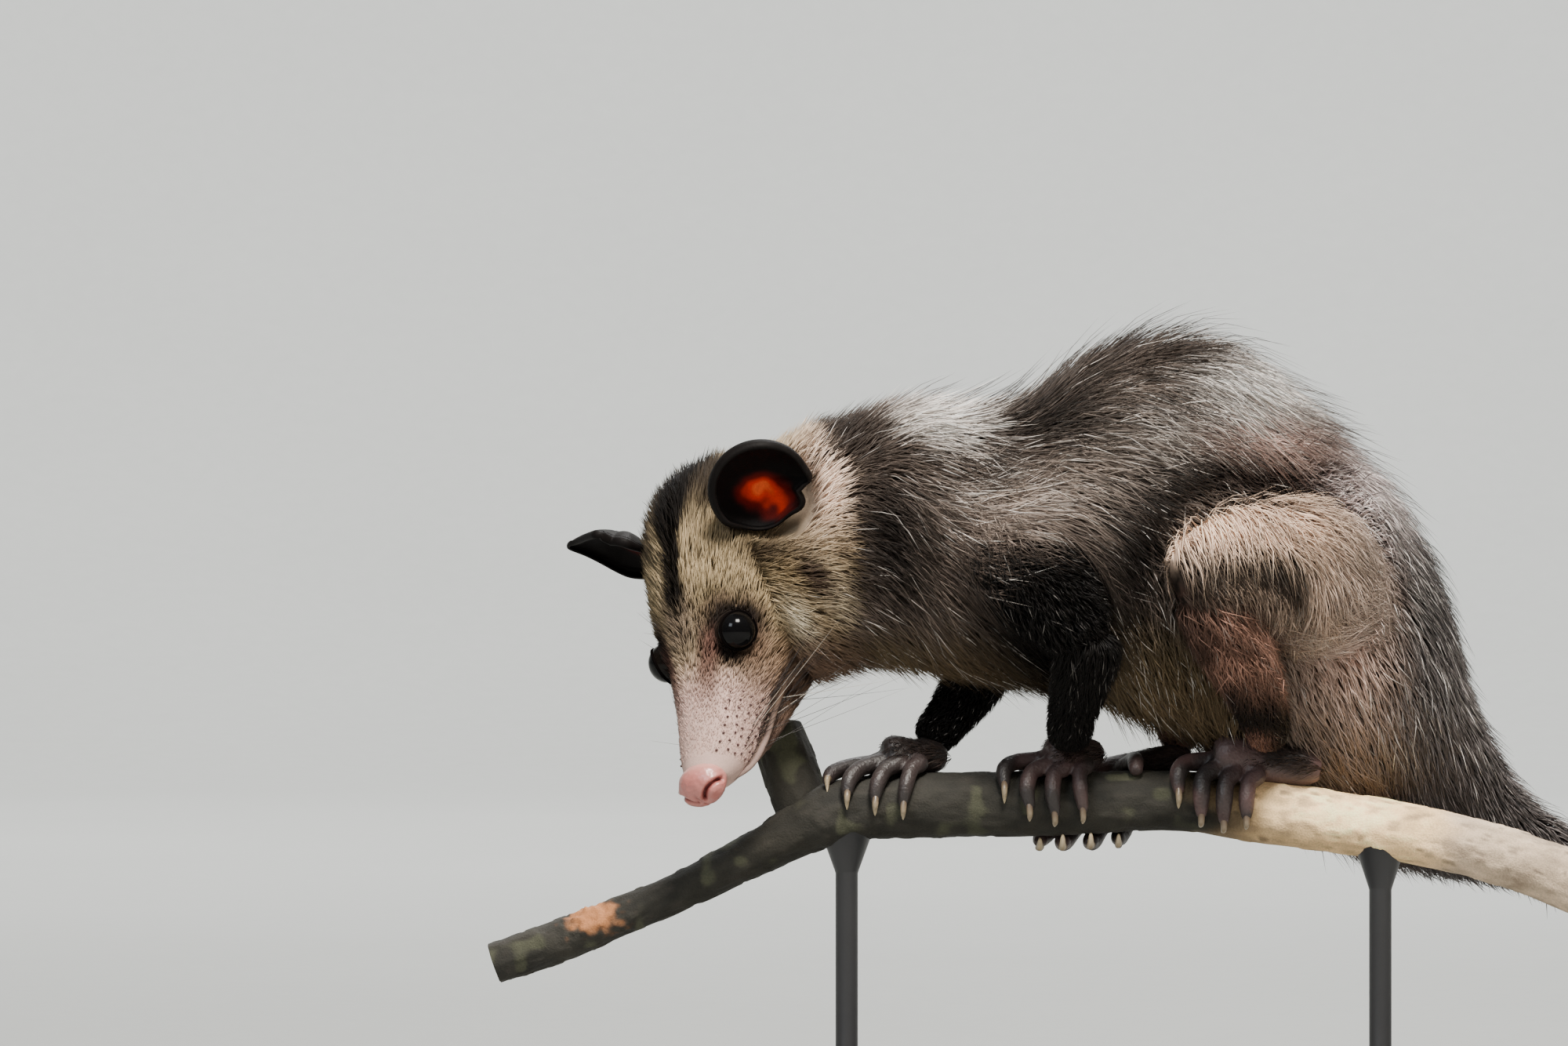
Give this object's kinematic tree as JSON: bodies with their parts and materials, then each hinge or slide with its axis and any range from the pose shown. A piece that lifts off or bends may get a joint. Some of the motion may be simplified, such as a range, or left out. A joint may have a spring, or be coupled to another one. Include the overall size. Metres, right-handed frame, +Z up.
{
  "type": "common opossum",
  "caption": "Life-size still model of a common opossum crouched on a cut length of branch, held by a flat base and two short rods.",
  "frame": {"origin": "middle of the underside of the stand's base", "axes": "+X along the branch from the head's end to the tail's end, +Y towards the animal's right, +Z up"},
  "size_m": [0.534, 0.15, 0.3292],
  "materials": {
    "body_coat": "long, coarse grey-brown coat with black and silver-white guard hairs",
    "tan_coat": "shorter tan to cream coat of the thigh",
    "dark_coat": "short brown-black coat of the legs",
    "face_coat": "short cream face fur with a dark brow stripe and eye rings",
    "ear_skin": "thin naked black skin, orange-red deep in the cup",
    "nose_skin": "moist pink naked skin",
    "paw_skin": "naked dark skin with pale horn claws",
    "eye": "glossy black",
    "tail_dark": "scaly black skin with sparse short hairs",
    "tail_pale": "scaly pinkish white skin",
    "bark": "rough grey-brown bark",
    "stand_metal": "satin dark grey paint"
  },
  "bodies": {
    "root": {"chest": "body_coat", "ear_left": "ear_skin", "ear_right": "ear_skin", "eye_left": "eye", "eye_right": "eye", "foot_left": "paw_skin", "foot_right": "paw_skin", "forearm_left": "dark_coat", "forearm_right": "dark_coat", "hand_left": "paw_skin", "hand_right": "paw_skin", "head": "face_coat", "lower_jaw": "face_coat", "neck": "body_coat", "nose": "nose_skin", "perch_branch": "bark", "rump": "body_coat", "shank_left": "dark_coat", "shank_right": "dark_coat", "stand_base": "stand_metal", "stand_rod_front": "stand_metal", "stand_rod_rear": "stand_metal", "tail_base": "body_coat", "tail_middle_length": "tail_pale", "tail_root_length": "tail_dark", "tail_tip_length": "tail_pale", "thigh_left": "tan_coat", "thigh_right": "tan_coat", "upper_arm_left": "dark_coat", "upper_arm_right": "dark_coat"}
  },
  "joints": []
}
